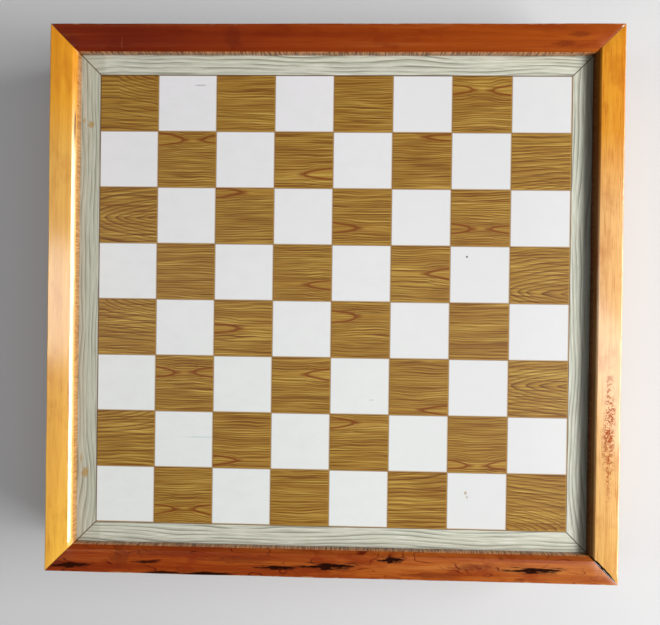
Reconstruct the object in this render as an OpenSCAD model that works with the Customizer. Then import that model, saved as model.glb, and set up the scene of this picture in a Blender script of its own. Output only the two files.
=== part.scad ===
// Chess box: the framed board is the hinged lid of a shallow case, and the case holds the chessmen,
// each lying in a compartment of its own. Millimetres.
// X runs along the front, Y runs to the back, where the hinges are, and Z is up.
// The origin is the middle of the underside.

/* [Board] */
// Width of one square, along X
square_w = 40; // [32:0.5:60]
// Depth of one square, along Y
square_d = 38.3; // [30:0.1:60]
// Width of the printed border round the squares
border_w = 13.6; // [8:0.1:30]
// Thickness of the printed sheet
print_t = 0.5; // [0.3:0.1:1]
// Thickness of the plywood panel under the printed sheet
panel_t = 4; // [3:0.5:6]

/* [Lid frame] */
// Width of a rail, seen from above
rail_w = 18.5; // [15:0.5:30]
// Height of a rail, which is the height of the lid
lid_h = 24; // [20:0.5:40]
// Depth of the playing surface below the top of the rails
recess = 8; // [3:0.5:10]
// Depth of the groove that holds the panel
groove_d = 5; // [3:0.5:7]
// Width of the worn chamfer on the inner top edge of the rails
inner_chamfer = 2.8; // [0.5:0.1:2.9]
// Radius of the outer top edge
outer_edge_r = 1.2; // [0.5:0.1:2.5]

/* [Case] */
// Height of the case under the lid
case_h = 44; // [38:1:80]
// Thickness of the case walls
wall_t = 12; // [10:0.5:15]
// Thickness of the plywood bottom
bottom_t = 4; // [3:0.5:6]
// Width of the rebate that the bottom sits in
rebate_w = 6; // [5:0.5:8]
// Thickness of the baize on the bottom
baize_t = 1; // [0.5:0.25:2]
// Thickness of the compartment dividers
divider_t = 3; // [2:0.5:5]
// Height of the compartment dividers
divider_h = 25; // [15:1:32]
// Room along the king in its compartment
king_room = 22; // [8:1:30]

/* [Hinges] */
// Length of a butt hinge
hinge_l = 40; // [30:1:60]
// Distance of a hinge's middle from the side of the box
hinge_inset = 72; // [50:1:100]
// Outer diameter of the knuckles
knuckle_d = 5; // [4:0.25:6]
// Diameter of the hinge pin
hinge_pin_d = 2.4; // [1.5:0.1:3]
// Thickness of a hinge leaf
leaf_t = 1.2; // [0.8:0.1:1.6]

/* [Clasp] */
// Distance from the hook's pivot to the stud that it catches
hook_reach = 17; // [14:0.5:20.5]
// Thickness of the hook
hook_t = 1.2; // [0.8:0.1:2]
// Height of the stud above the joint between lid and case
stud_rise = 8; // [6:0.5:10]

/* [Chessmen] */
// Height of the king
king_h = 76; // [65:1:92]
// Base diameter of the king
king_base = 30; // [25:0.5:36]
// Height of the queen
queen_h = 68; // [58:1:82]
// Base diameter of the queen
queen_base = 29; // [24:0.5:35]
// Height of a bishop
bishop_h = 60; // [50:1:72]
// Base diameter of a bishop
bishop_base = 27; // [22:0.5:33]
// Height of a knight
knight_h = 54; // [45:1:65]
// Base diameter of a knight
knight_base = 27; // [22:0.5:33]
// Height of a rook
rook_h = 47; // [39:1:57]
// Base diameter of a rook
rook_base = 26; // [21:0.5:32]
// Height of a pawn
pawn_h = 40; // [33:1:48]
// Base diameter of a pawn
pawn_base = 23; // [19:0.5:28]
// Thickness of the felt under each chessman
felt_t = 0.8; // [0.5:0.1:1.5]

/* [Hidden] */

$fn = 48;
eps = 0.01;
squares = 8;

// Clearances
mitre_gap = 0.12;    // open glue line at each mitre
panel_gap = 0.5;     // room for the panel to swell, in its groove or rebate
slip = 0.1;          // a piece that lies in a pocket, slot or groove
pin_slip = 0.05;     // radial, round a nail, screw or hinge pin
lying_gap = 0.05;    // under a chessman that lies on the baize

// The frame and the case
open_w = squares * square_w + 2 * border_w;
open_d = squares * square_d + 2 * border_w;
box_w = open_w + 2 * rail_w;
box_d = open_d + 2 * rail_w;
inner_w = box_w - 2 * wall_t;
inner_d = box_d - 2 * wall_t;
groove_h = panel_t + print_t + slip;
panel_z = case_h + lid_h - recess - print_t - panel_t;
baize_z = bottom_t + baize_t;

// Compartments: four lanes of eight, outer lanes for the pieces and inner lanes for the pawns
ranks = 8;
outer_lane = king_h + felt_t + king_room;
inner_lane = (inner_w - 2 * outer_lane - 3 * divider_t) / 2;
divider_x = divider_t / 2 + inner_lane + divider_t / 2;
pitch = (inner_d + divider_t) / ranks;
lap_w = divider_t + 2 * slip;

// Nails and screws
nail_d = 1.4;
nail_l = 28;
nail_set = 0.3;      // how far a nail's head is punched under the surface
lid_nail_z = [case_h + 0.24 * lid_h, case_h + 0.8 * lid_h];
box_nail_z = [0.18 * case_h, 0.5 * case_h, 0.82 * case_h];
brad_d = 1.2;
brad_head_d = 2.6;
brad_head_t = 0.6;
brad_l = 15;
brads_long_side = 4;
screw_d = 2;
screw_head_d = 4;
screw_l = 9;
slot_w = 0.5;

// Hinges: the knuckles stand behind the box, with their axis level with the joint of lid and case
knuckles = 5;
knuckle_gap = 0.15;
hinge_stand = 0.3;   // between the back of the box and the knuckles
leaf_w = wall_t - 2;
hinge_y = box_d / 2 + hinge_stand + knuckle_d / 2;
hinge_x = box_w / 2 - hinge_inset;
knuckle_l = hinge_l / knuckles;
leaf_screws = 3;
leaf_screw_pitch = hinge_l / leaf_screws;
leaf_face = 0.1;     // how far a leaf's face lies below the joint

// Clasp: the hook turns on the case and catches a stud on the lid
clasp_plate_t = 1;
clasp_plate_w = 16;
clasp_plate_h = 12;
clasp_screw_x = 5.2;
hook_gap = 0.2;
neck_d = 2.4;
stud_head_d = 5;
stud_head_t = 1.2;
rivet_head_t = 0.9;
hook_end_r = 4.4;
hook_eye_r = 3.8;
hook_arm_w = 4.2;
mouth_gap = 0.3;     // radial, between hook and stud
stud_depth = 6;
front_y = -box_d / 2;
stud_z = case_h + stud_rise;
pivot_z = stud_z - hook_reach;
hook_y = front_y - clasp_plate_t - hook_gap;

// Chessmen
collar_rise = 3;     // height of the two collars at a 30 mm base

// ---- shared shapes ----

// A length of moulding along X with mitred ends. The children are its section: outer face on the
// Y axis, growing inwards along X.
module mitred(length, width, height) {
    intersection() {
        rotate([90, 0, 90]) linear_extrude(length, center = true) children();
        linear_extrude(height) polygon([
            [-length / 2 + mitre_gap, 0], [length / 2 - mitre_gap, 0],
            [length / 2 - mitre_gap - width, width], [-length / 2 + mitre_gap + width, width]]);
    }
}

// Puts a piece that was made for the front side on side 0 front, 1 right, 2 back or 3 left
module on_side(side) {
    reach = side % 2 == 0 ? box_d / 2 : box_w / 2;
    rotate([0, 0, side * 90]) translate([0, -reach, 0]) children();
}

function side_length(side) = side % 2 == 0 ? box_w : box_d;

// A nail along +Y with its head at the origin
module nail() rotate([-90, 0, 0]) cylinder(d = nail_d, h = nail_l);

module nail_hole() {
    translate([0, -1, 0]) rotate([-90, 0, 0]) cylinder(d = nail_d + 2 * pin_slip, h = nail_l + 1 + slip);
}

// Places its children at each nail of a corner joint, heads on the front and back faces
module at_nails(wall, heights) {
    for (x = [-1, 1], y = [-1, 1], z = heights)
        translate([x * (box_w / 2 - wall / 2), y * (box_d / 2 - nail_set), z])
            rotate([0, 0, y > 0 ? 180 : 0]) children();
}

// A countersunk screw along -Z, its head's face at the origin
module screw() {
    difference() {
        union() {
            mirror([0, 0, 1]) cylinder(d1 = screw_head_d, d2 = screw_d, h = (screw_head_d - screw_d) / 2);
            mirror([0, 0, 1]) cylinder(d = screw_d, h = screw_l - screw_d);
            translate([0, 0, -screw_l + screw_d]) mirror([0, 0, 1]) cylinder(d1 = screw_d, d2 = 0.4, h = screw_d);
        }
        translate([0, 0, -slot_w / 2 + eps]) cube([screw_head_d + 1, slot_w, slot_w], center = true);
    }
}

// The hole that a screw leaves: the countersink and the bore below it
module screw_hole() {
    sink = screw_head_d + 2 * pin_slip;
    bore = screw_d + 2 * pin_slip;
    mirror([0, 0, 1]) translate([0, 0, -eps]) cylinder(d = bore, h = screw_l + slip);
    mirror([0, 0, 1]) cylinder(d1 = sink, d2 = bore, h = (sink - bore) / 2);
    translate([0, 0, -eps]) cylinder(d = sink, h = 1);
}

// ---- lid ----

module rail_section() {
    difference() {
        union() {
            square([rail_w, lid_h - outer_edge_r]);
            translate([outer_edge_r, 0]) square([rail_w - outer_edge_r, lid_h]);
            translate([outer_edge_r, lid_h - outer_edge_r]) circle(outer_edge_r);
        }
        translate([rail_w, lid_h]) rotate(45) square(inner_chamfer * sqrt(2), center = true);
        translate([rail_w - groove_d, panel_z - case_h]) square([groove_d + 1, groove_h]);
    }
}

module lid_rail(side) {
    color("peru") difference() {
        on_side(side) translate([0, 0, case_h]) mitred(side_length(side), rail_w, lid_h) rail_section();
        at_nails(rail_w, lid_nail_z) nail_hole();
        if (side == 2) for (x = [-hinge_x, hinge_x]) {
            translate([x - hinge_l / 2 - slip, box_d / 2 - leaf_w - slip, case_h - eps])
                cube([hinge_l + 2 * slip, leaf_w + 1, leaf_face + leaf_t + eps]);
            at_leaf_screws(x) translate([0, 0, leaf_face]) mirror([0, 0, 1]) screw_hole();
        }
        if (side == 0) {
            at_clasp_screws(stud_z) screw_hole();
            stem_bore(stud_z, stud_depth);
        }
    }
}

module lid_corner_pins() color("darkgray") at_nails(rail_w, lid_nail_z) nail();

module board_sheet(thickness) {
    grow = 2 * (groove_d - panel_gap);
    translate([0, 0, thickness / 2]) cube([open_w + grow, open_d + grow, thickness], center = true);
}

module board_panel() color("burlywood") translate([0, 0, panel_z]) board_sheet(panel_t);

module board_print() color("white") translate([0, 0, panel_z + panel_t]) board_sheet(print_t);

// ---- case ----

module wall_section() {
    difference() {
        square([wall_t, case_h]);
        translate([wall_t - rebate_w, -1]) square([rebate_w + 1, bottom_t + 1]);
    }
}

module box_wall(side) {
    color("sienna") difference() {
        on_side(side) mitred(side_length(side), wall_t, case_h) wall_section();
        at_nails(wall_t, box_nail_z) nail_hole();
        at_brads(side) brad(pin_slip);
        if (side == 2) for (x = [-hinge_x, hinge_x]) {
            translate([x - hinge_l / 2 - slip, box_d / 2 - leaf_w - slip, case_h - leaf_face - leaf_t])
                cube([hinge_l + 2 * slip, leaf_w + 1, leaf_face + leaf_t + eps]);
            at_leaf_screws(x) translate([0, 0, -leaf_face]) screw_hole();
        }
        if (side == 0) {
            at_clasp_screws(pivot_z) screw_hole();
            stem_bore(pivot_z, stud_depth);
        }
    }
}

module box_corner_pins() color("darkgray") at_nails(wall_t, box_nail_z) nail();

module brad(grow = 0) {
    cylinder(d = brad_d + 2 * grow, h = brad_l + grow);
    translate([0, 0, -grow]) cylinder(d = brad_head_d + 2 * grow, h = brad_head_t + 2 * grow);
}

// The brads of one side, along the middle of the rebate
module at_brads(side) {
    span = side_length(side) - 2 * wall_t;
    on_side(side) for (i = [0 : brads_long_side - 1])
        translate([span * ((i + 0.5) / brads_long_side - 0.5), wall_t - rebate_w / 2, 0.1]) children();
}

module bottom_brads() color("darkgray") for (side = [0 : 3]) at_brads(side) brad();

module box_bottom() {
    grow = 2 * (rebate_w - panel_gap);
    color("burlywood") difference() {
        translate([0, 0, (bottom_t - slip) / 2])
            cube([inner_w + grow, inner_d + grow, bottom_t - slip], center = true);
        for (side = [0 : 3]) at_brads(side) {
            brad(pin_slip);
            translate([0, 0, -1]) cylinder(d = brad_head_d + 2 * pin_slip, h = 1.1);
        }
    }
}

module baize_lining() {
    color("darkgreen") translate([0, 0, bottom_t + baize_t / 2])
        cube([inner_w - 2 * slip, inner_d - 2 * slip, baize_t], center = true);
}

// Dividers are crossed with half laps: the long ones are slotted from above, the cross ones from below

module long_divider(x) {
    color("tan") difference() {
        translate([x - divider_t / 2, -inner_d / 2 + slip, baize_z]) cube([divider_t, inner_d - 2 * slip, divider_h]);
        for (i = [1 : ranks - 1])
            translate([x - divider_t, -inner_d / 2 - divider_t / 2 + i * pitch - lap_w / 2, baize_z + divider_h / 2])
                cube([2 * divider_t, lap_w, divider_h]);
    }
}

module cross_dividers() {
    color("tan") for (i = [1 : ranks - 1])
        difference() {
            translate([-inner_w / 2 + slip, -inner_d / 2 - divider_t + i * pitch, baize_z])
                cube([inner_w - 2 * slip, divider_t, divider_h]);
            for (x = [-divider_x, 0, divider_x])
                translate([x - lap_w / 2, -inner_d / 2 - 2 * divider_t + i * pitch, baize_z - eps])
                    cube([lap_w, 3 * divider_t, divider_h / 2 + slip]);
        }
}

// ---- hinges ----

module at_leaf_screws(x) {
    for (i = [0 : leaf_screws - 1])
        translate([x + (i - (leaf_screws - 1) / 2) * leaf_screw_pitch, box_d / 2 - leaf_w / 2, case_h]) children();
}

// One leaf. first is the index of its first knuckle: 0 on the case, 1 on the lid.
module hinge_leaf(x, first) {
    up = first == 1 ? 1 : -1;
    color("goldenrod") difference() {
        union() {
            translate([x - hinge_l / 2, box_d / 2 - leaf_w, case_h + (up > 0 ? leaf_face : -leaf_face - leaf_t)])
                cube([hinge_l, leaf_w, leaf_t]);
            for (i = [first : 2 : knuckles - 1])
                translate([x - hinge_l / 2 + i * knuckle_l + knuckle_gap, 0, 0]) {
                    width = knuckle_l - 2 * knuckle_gap;
                    translate([0, box_d / 2 - 1, case_h + (up > 0 ? leaf_face : -leaf_face - leaf_t)])
                        cube([width, hinge_y - box_d / 2 + 1, leaf_t]);
                    translate([0, hinge_y, case_h]) rotate([0, 90, 0]) cylinder(d = knuckle_d, h = width);
                }
        }
        translate([x - hinge_l, hinge_y, case_h]) rotate([0, 90, 0])
            cylinder(d = hinge_pin_d + 2 * pin_slip, h = 2 * hinge_l);
        at_leaf_screws(x) translate([0, 0, up * leaf_face]) mirror([0, 0, up > 0 ? 1 : 0]) screw_hole();
    }
}

module hinge_pin(x) {
    end_t = 0.8;
    color("darkgoldenrod") translate([x, hinge_y, case_h]) rotate([0, 90, 0]) {
        cylinder(d = hinge_pin_d, h = hinge_l, center = true);
        for (s = [0, 1]) mirror([0, 0, s]) translate([0, 0, hinge_l / 2])
            cylinder(d1 = knuckle_d - 1, d2 = knuckle_d - 2.4, h = end_t);
    }
}

module hinge_screws(on_lid) {
    color("goldenrod") for (x = [-hinge_x, hinge_x]) at_leaf_screws(x)
        translate([0, 0, on_lid ? leaf_face : -leaf_face]) mirror([0, 0, on_lid ? 1 : 0]) screw();
}

// ---- clasp ----

module at_clasp_screws(z) {
    for (s = [-1, 1]) translate([s * clasp_screw_x, front_y - clasp_plate_t, z]) rotate([90, 0, 0]) children();
}

// A brass plate on the front face, its middle at height z, bored for a stem and two screws
module clasp_plate(z) {
    corner_r = 2;
    across = clasp_plate_w - 2 * corner_r;
    up = clasp_plate_h - 2 * corner_r;
    color("goldenrod") difference() {
        translate([0, front_y, z]) rotate([90, 0, 0]) linear_extrude(clasp_plate_t) difference() {
            union() {
                square([across, clasp_plate_h], center = true);
                square([clasp_plate_w, up], center = true);
                for (sx = [-1, 1], sy = [-1, 1]) translate([sx * across / 2, sy * up / 2]) circle(corner_r);
            }
            circle(d = neck_d + 2 * pin_slip);
        }
        at_clasp_screws(z) screw_hole();
    }
}

module clasp_screws(z) color("goldenrod") at_clasp_screws(z) screw();

// A headed stem along -Y from inside the wood to its head. It serves as the rivet and as the stud.
module headed_stem(z, head_t) {
    reach = stud_depth + clasp_plate_t + hook_gap + hook_t + hook_gap;
    color("darkgoldenrod") translate([0, front_y + stud_depth, z]) rotate([90, 0, 0]) {
        cylinder(d = neck_d, h = reach);
        translate([0, 0, reach]) cylinder(d1 = stud_head_d, d2 = stud_head_d - 1.4, h = head_t);
    }
}

module stem_bore(z, depth) {
    translate([0, front_y + depth + slip, z]) rotate([90, 0, 0]) cylinder(d = neck_d + 2 * pin_slip, h = 2 * depth);
}

// The hook hangs down from its pivot. Turned up by half a turn, its mouth takes the stud. The mouth
// is curved about the pivot, so that the stud slides in along it.
module clasp_hook() {
    mouth_w = neck_d + 2 * mouth_gap;
    color("gold") translate([0, hook_y, pivot_z]) rotate([90, 0, 0]) linear_extrude(hook_t) mirror([0, 1])
        difference() {
            union() {
                circle(hook_eye_r);
                translate([-hook_arm_w / 2, 0]) square([hook_arm_w, hook_reach]);
                translate([0, hook_reach]) circle(hook_end_r);
                translate([-hook_arm_w / 4, hook_reach]) square([hook_arm_w / 2, hook_end_r + 3]);
            }
            circle(d = neck_d + 4 * pin_slip);
            translate([0, hook_reach]) circle(d = mouth_w);
            intersection() {
                difference() {
                    circle(hook_reach + mouth_w / 2);
                    circle(hook_reach - mouth_w / 2);
                }
                square([hook_end_r + 1, 2 * hook_reach]);
            }
        }
}

// ---- chessmen ----

function arc(r, z, radius, from, to, steps = 6) =
    [for (i = [0 : steps]) let (a = from + (to - from) * i / steps) [r + radius * cos(a), z + radius * sin(a)]];

// The turned outline from the base to the top of the collars. u is the scale, 1 at a 30 mm base,
// and neck_z is the height of the lower collar.
function foot(u, neck_z, neck_r, collar_r) = concat(
    [[0, 0], [14.2 * u, 0], [15 * u, 0.8 * u], [15 * u, 3 * u]],
    arc(13.2 * u, 4.6 * u, 1.6 * u, -90, 90),
    arc(5.5 * u, 6.6 * u, 6.7 * u, 0, 75),
    [for (i = [0 : 8]) let (t = i / 8)
        [neck_r * u + (6.6 - neck_r) * u * pow(1 - t, 2.2), 13.6 * u + (neck_z - 13.6 * u) * t]],
    arc((collar_r - 0.8) * u, neck_z + 0.8 * u, 0.8 * u, -90, 90, 4),
    arc((collar_r - 2.6) * u, neck_z + 2.3 * u, 0.7 * u, -90, 90, 4));

module turned(outline) rotate_extrude() polygon(outline);

module pawn() {
    u = pawn_base / 30;
    ball = 7.4 * u;
    neck_z = pawn_h - 2 * ball - collar_rise * u + 1.2 * u;
    turned(concat(foot(u, neck_z, 4, 9),
        arc(0, pawn_h - ball, ball, -62, 90, 12)));
}

module rook() {
    u = rook_base / 30;
    neck_z = rook_h - 17 * u;
    wall_r = 7.6 * u;
    rim_r = 9.6 * u;
    difference() {
        turned(concat(foot(u, neck_z, 6, 9.6),
            [[wall_r - u, neck_z + collar_rise * u], [wall_r - u, rook_h - 10 * u], [rim_r - 0.6 * u, rook_h - 7 * u],
                [rim_r, rook_h - 6.4 * u], [rim_r, rook_h - 0.5 * u], [rim_r - 0.5 * u, rook_h], [0, rook_h]]));
        translate([0, 0, rook_h - 3.4 * u]) cylinder(r = wall_r - 1.4 * u, h = 5 * u);
        for (i = [0 : 2]) rotate([0, 0, 60 * i])
            translate([-rim_r - 1, -1.2 * u, rook_h - 2.6 * u]) cube([2 * rim_r + 2, 2.4 * u, 5 * u]);
    }
}

module bishop() {
    u = bishop_base / 30;
    neck_z = bishop_h - 26.5 * u;
    head_z = neck_z + collar_rise * u;
    tip_z = bishop_h - 4.4 * u;
    difference() {
        turned(concat(foot(u, neck_z, 3.6, 9.4),
            [[4.6 * u, head_z]],
            [for (i = [0 : 10]) let (t = i / 10)
                [(4.6 + 3.6 * sin(180 * pow(t, 0.75)) - 3 * t) * u, head_z + (tip_z - head_z) * t]],
            arc(0, bishop_h - 2.4 * u, 2.4 * u, -55, 90, 8)));
        translate([2.6 * u, 0, head_z + 13 * u]) rotate([0, -40, 0]) cube([14 * u, 20 * u, 1.3 * u], center = true);
    }
}

module queen() {
    u = queen_base / 30;
    neck_z = queen_h - 22 * u;
    rim_z = queen_h - 7.2 * u;
    difference() {
        turned(concat(foot(u, neck_z, 4, 9.8),
            [for (i = [0 : 8]) let (t = i / 8)
                [(4.4 + 4.4 * t * t) * u, neck_z + collar_rise * u + (rim_z - neck_z - collar_rise * u) * t]],
            [[8.4 * u, rim_z + 0.8 * u], [6.6 * u, rim_z]],
            arc(0, rim_z - 2.8 * u, 7.2 * u, 25, 72, 5),
            arc(0, queen_h - 2.2 * u, 2.2 * u, -50, 90, 8)));
        for (i = [0 : 8]) rotate([0, 0, 40 * i]) translate([9.2 * u, 0, rim_z + 1.6 * u])
            rotate([0, 90, 0]) cylinder(r = 1.9 * u, h = 6 * u, center = true);
    }
}

module king() {
    u = king_base / 30;
    neck_z = king_h - 29 * u;
    rim_z = king_h - 14 * u;
    cross_z = king_h - 9.4 * u;
    turned(concat(foot(u, neck_z, 4.2, 9.4),
        [[4.8 * u, neck_z + collar_rise * u], [7.6 * u, rim_z - u], [8 * u, rim_z - 0.4 * u], [8 * u, rim_z + 0.4 * u],
            [7.2 * u, rim_z + u]],
        arc(0, rim_z - 2.6 * u, 8 * u, 27, 78, 6),
        [[0, cross_z]]));
    translate([0, 0, cross_z - 1.2 * u]) rotate([90, 0, 0]) linear_extrude(2.4 * u, center = true)
        for (a = [0 : 90 : 270])
            translate([0, 6 * u]) rotate(a) polygon([[0, 0], [-1 * u, 1 * u], [-2 * u, 4.6 * u], [2 * u, 4.6 * u], [u, u]]);
}

// The horse's head is carved from the side and from the front, out of a round blank
module knight() {
    u = knight_base / 30;
    neck_z = 14.6 * u;
    h = (knight_h - neck_z) / 38;
    turned(concat(
        foot(u, neck_z, 7.4, 10.4),
        [[0, neck_z + collar_rise * u]]));
    translate([0, 0, neck_z]) intersection() {
        rotate([90, 0, 0]) linear_extrude(24 * u, center = true) polygon([for (p = horse_side) [p[0] * u, p[1] * h]]);
        rotate([90, 0, 90]) linear_extrude(40 * u, center = true) polygon([for (p = horse_front) [p[0] * u, p[1] * h]]);
        translate([0.8 * u, 0, 0]) cylinder(r = 10.2 * u, h = 40 * h);
    }
}

// Forwards and upwards, from the back of the neck over the ears to the nose, jaw and chest
horse_side = [[-8, 0], [-9.2, 5], [-9.2, 12], [-8, 19], [-5.4, 26], [-2.4, 31], [-1.6, 34], [-0.6, 38], [1.8, 34.4],
    [4.4, 32.4], [6, 29.4], [9.6, 23.4], [11, 20], [10.6, 17.4], [8.8, 16.6], [8, 17.8], [7, 16.4], [4.6, 17],
    [2.2, 15.2], [3.4, 11.4], [6.6, 6.4], [8.4, 2.6], [8, 0]];
horse_front = [[-8.2, 0], [-8, 6], [-6.2, 13], [-5, 20], [-5.6, 26], [-4.8, 31], [-3.6, 38], [-1.2, 38], [0, 33.6],
    [1.2, 38], [3.6, 38], [4.8, 31], [5.6, 26], [5, 20], [6.2, 13], [8, 6], [8.2, 0]];

// Lays a chessman down along its lane on the baize, base first, so that it rests on the rim of its
// base and on its collar or head. touch lists their widest points, as [radius, height]. Side -1 turns
// it end for end.
module lying(side, rank, lane_x, lane_w, base, height, touch) {
    rim_z = base / 10;
    tilt = min([for (p = touch) atan((base / 2 - p[0]) / (p[1] - rim_z))]);
    behind = base / 2 * sin(tilt) + felt_t;
    bead = base / 30 * (13.2 * cos(tilt) + 4.6 * sin(tilt) + 1.6);
    lift = max(base / 2 * cos(tilt) + rim_z * sin(tilt), bead) + lying_gap;
    rotate([0, 0, side > 0 ? 0 : 180])
        translate([lane_x + behind + (lane_w - behind - height) / 3,
            side * (rank - (ranks - 1) / 2) * pitch, baize_z + lift])
            rotate([0, 90 + tilt, 0]) children();
}

module lying_piece(side, rank, base, height, touch)
    lying(side, rank, -inner_w / 2, outer_lane, base, height, touch) children();

module lying_king(side) {
    u = king_base / 30;
    lying_piece(side, 4, king_base, king_h, [[8 * u, king_h - 13.6 * u], [9.4 * u, king_h - 28.2 * u]])
        children();
}

module lying_queen(side) {
    u = queen_base / 30;
    lying_piece(side, 3, queen_base, queen_h, [[8.8 * u, queen_h - 7.2 * u], [9.8 * u, queen_h - 21.2 * u]])
        children();
}

module lying_bishop(side, rank) {
    u = bishop_base / 30;
    lying_piece(side, rank, bishop_base, bishop_h,
        [[7.1 * u, bishop_h - 15.9 * u], [9.4 * u, bishop_h - 25.7 * u]]) rotate(90) children();
}

module lying_knight(side, rank) {
    u = knight_base / 30;
    lying_piece(side, rank, knight_base, knight_h, [[3.6 * u, knight_h], [5.6 * u, 0.76 * knight_h]])
        rotate(90) children();
}

module lying_rook(side, rank) {
    u = rook_base / 30;
    lying_piece(side, rank, rook_base, rook_h, [[9.6 * u, rook_h - 0.5 * u], [9.6 * u, rook_h - 16.2 * u]])
        children();
}

module lying_pawn(side, rank) {
    u = pawn_base / 30;
    lying(side, rank, -divider_x + divider_t / 2, inner_lane, pawn_base, pawn_h,
        [[7.4 * u, pawn_h - 7.4 * u], [9 * u, pawn_h - 15.8 * u]]) children();
}

module wood(side) color(side > 0 ? "wheat" : "saddlebrown") children();

module felt(base) color("darkolivegreen") translate([0, 0, -felt_t]) cylinder(d = base * 0.9, h = felt_t);

module pawns(side) for (rank = [0 : ranks - 1]) lying_pawn(side, rank) pawn();

module felts(side) {
    lying_king(side) felt(king_base);
    lying_queen(side) felt(queen_base);
    for (rank = [2, 5]) lying_bishop(side, rank) felt(bishop_base);
    for (rank = [1, 6]) lying_knight(side, rank) felt(knight_base);
    for (rank = [0, 7]) lying_rook(side, rank) felt(rook_base);
    for (rank = [0 : ranks - 1]) lying_pawn(side, rank) felt(pawn_base);
}

// ---- nodes ----

lid_rail(0);  // lid_rail_front
lid_rail(2);  // lid_rail_back
lid_rail(3);  // lid_rail_left
lid_rail(1);  // lid_rail_right
lid_corner_pins();
board_panel();
board_print();
box_wall(0);  // box_wall_front
box_wall(2);  // box_wall_back
box_wall(3);  // box_wall_left
box_wall(1);  // box_wall_right
box_corner_pins();
box_bottom();
bottom_brads();
baize_lining();
long_divider(-divider_x);  // divider_left
long_divider(0);  // divider_centre
long_divider(divider_x);  // divider_right
cross_dividers();
hinge_leaf(-hinge_x, 1);  // hinge_left_lid_leaf
hinge_leaf(-hinge_x, 0);  // hinge_left_box_leaf
hinge_pin(-hinge_x);  // hinge_left_pin
hinge_leaf(hinge_x, 1);  // hinge_right_lid_leaf
hinge_leaf(hinge_x, 0);  // hinge_right_box_leaf
hinge_pin(hinge_x);  // hinge_right_pin
hinge_screws(true);  // hinge_lid_screws
hinge_screws(false);  // hinge_box_screws
clasp_plate(pivot_z);  // clasp_base
clasp_screws(pivot_z);  // clasp_base_screws
headed_stem(pivot_z, rivet_head_t);  // clasp_rivet
clasp_hook();
clasp_plate(stud_z);  // clasp_keeper
clasp_screws(stud_z);  // clasp_keeper_screws
headed_stem(stud_z, stud_head_t);  // clasp_stud
wood(1) lying_king(1) king();  // light_king
wood(1) lying_queen(1) queen();  // light_queen
wood(1) lying_bishop(1, 2) bishop();  // light_bishop_1
wood(1) lying_bishop(1, 5) bishop();  // light_bishop_2
wood(1) lying_knight(1, 1) knight();  // light_knight_1
wood(1) lying_knight(1, 6) knight();  // light_knight_2
wood(1) lying_rook(1, 0) rook();  // light_rook_1
wood(1) lying_rook(1, 7) rook();  // light_rook_2
wood(1) pawns(1);  // light_pawns
felts(1);  // light_felts
wood(-1) lying_king(-1) king();  // dark_king
wood(-1) lying_queen(-1) queen();  // dark_queen
wood(-1) lying_bishop(-1, 2) bishop();  // dark_bishop_1
wood(-1) lying_bishop(-1, 5) bishop();  // dark_bishop_2
wood(-1) lying_knight(-1, 1) knight();  // dark_knight_1
wood(-1) lying_knight(-1, 6) knight();  // dark_knight_2
wood(-1) lying_rook(-1, 0) rook();  // dark_rook_1
wood(-1) lying_rook(-1, 7) rook();  // dark_rook_2
wood(-1) pawns(-1);  // dark_pawns
felts(-1);  // dark_felts
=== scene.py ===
import math

import bmesh
import bpy
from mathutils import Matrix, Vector, noise


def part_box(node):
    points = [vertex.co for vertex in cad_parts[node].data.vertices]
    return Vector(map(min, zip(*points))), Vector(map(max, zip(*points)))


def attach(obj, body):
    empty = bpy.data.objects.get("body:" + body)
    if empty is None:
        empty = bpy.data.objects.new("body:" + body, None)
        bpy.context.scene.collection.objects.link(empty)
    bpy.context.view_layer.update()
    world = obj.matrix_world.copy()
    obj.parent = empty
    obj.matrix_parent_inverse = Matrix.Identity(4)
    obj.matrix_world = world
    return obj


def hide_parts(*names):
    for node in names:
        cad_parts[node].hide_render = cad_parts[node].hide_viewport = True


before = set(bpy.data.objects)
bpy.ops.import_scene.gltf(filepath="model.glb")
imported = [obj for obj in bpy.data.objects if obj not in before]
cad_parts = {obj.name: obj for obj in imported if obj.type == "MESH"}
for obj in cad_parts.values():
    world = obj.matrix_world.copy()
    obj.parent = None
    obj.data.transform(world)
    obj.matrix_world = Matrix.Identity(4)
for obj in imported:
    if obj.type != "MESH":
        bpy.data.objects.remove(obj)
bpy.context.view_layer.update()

MM = 0.001
MERGE = 0.002 * MM                        # corners of a mesh nearer than this are one corner
FLAT = math.radians(1.0)                  # faces that meet at less than this are one face
WAVE = 38 * MM                            # the length of the slow waves in old wood
ROOM_MIDDLE = (0, 0, 0.05)                # where the lights point
LIGHT_TINT = (1.0, 0.99, 0.98)
SKY = (0.92, 0.95, 1.0, 1.0)
SKY_STRENGTH = 0.08
CAMERA_PLACE = (10.3 * MM, -5.7 * MM, 467.6 * MM)
CAMERA_TURN = (-0.0041, 0.0275, 0.0133)   # radians away from straight down
SENSOR = 36                               # millimetres, as is the lens
LENS = 32.7

# ---- sizes, in metres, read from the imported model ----

PRINT_LOW, PRINT_HIGH = (Vector(corner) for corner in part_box("board_print"))
FRONT_LOW, FRONT_HIGH = (Vector(corner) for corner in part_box("lid_rail_front"))
LEFT_HIGH = Vector(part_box("lid_rail_left")[1])

RAIL_WIDTH = FRONT_HIGH.y - FRONT_LOW.y
OPEN_X = LEFT_HIGH.x                      # negative: the left edge of the opening
OPEN_Y = FRONT_HIGH.y                     # negative: the front edge of the opening
RAIL_TOP = FRONT_HIGH.z
PLAY_Z = PRINT_HIGH.z

BORDER = 13.6 * MM
SQUARES = 8
SQUARE_X = -2 * (OPEN_X + BORDER) / SQUARES
SQUARE_Y = -2 * (OPEN_Y + BORDER) / SQUARES


# ---- material helpers ----

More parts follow.
